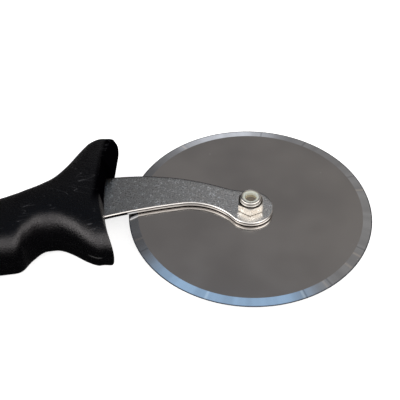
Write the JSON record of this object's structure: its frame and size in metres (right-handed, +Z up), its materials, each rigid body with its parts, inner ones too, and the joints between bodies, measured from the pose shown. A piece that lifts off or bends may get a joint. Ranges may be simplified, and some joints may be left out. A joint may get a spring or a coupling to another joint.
{
  "type": "pastry cutter wheel",
  "caption": "Round bevelled cutting wheel that turns on a bolt and lock nut at the end of a flat curved steel arm, set in a moulded handle with a flared finger guard.",
  "frame": {"origin": "middle of the tool's bounding box, on the table that it rests on", "axes": "+X from the handle towards the wheel, +Z up, the tool lying on its side with the nut upwards"},
  "size_m": [0.225, 0.1098, 0.0317],
  "materials": {
    "blade_steel": "satin, with a bright ground bevel",
    "arm_steel": "tumbled matt, polished edges",
    "handle_plastic": "satin black moulding",
    "fastener_steel": "bright plated",
    "washer_steel": "plain",
    "nylon": "natural white",
    "bushing_bronze": "plain sintered"
  },
  "bodies": {
    "frame": {"handle": "handle_plastic", "arm": "arm_steel", "pivot_bolt": "fastener_steel", "lock_nut": "fastener_steel", "nylon_insert": "nylon", "wheel_bushing": "bushing_bronze", "spacer_washer": "washer_steel", "head_washer": "washer_steel"},
    "wheel": {"blade_wheel": "blade_steel"}
  },
  "joints": [
    {"name": "wheel_spin", "type": "hinge", "parent": "frame", "child": "wheel", "pos_m": [0.06192, 0.00411, 0.00459], "axis": [0.083, 0, 0.9966], "continuous": true}
  ]
}
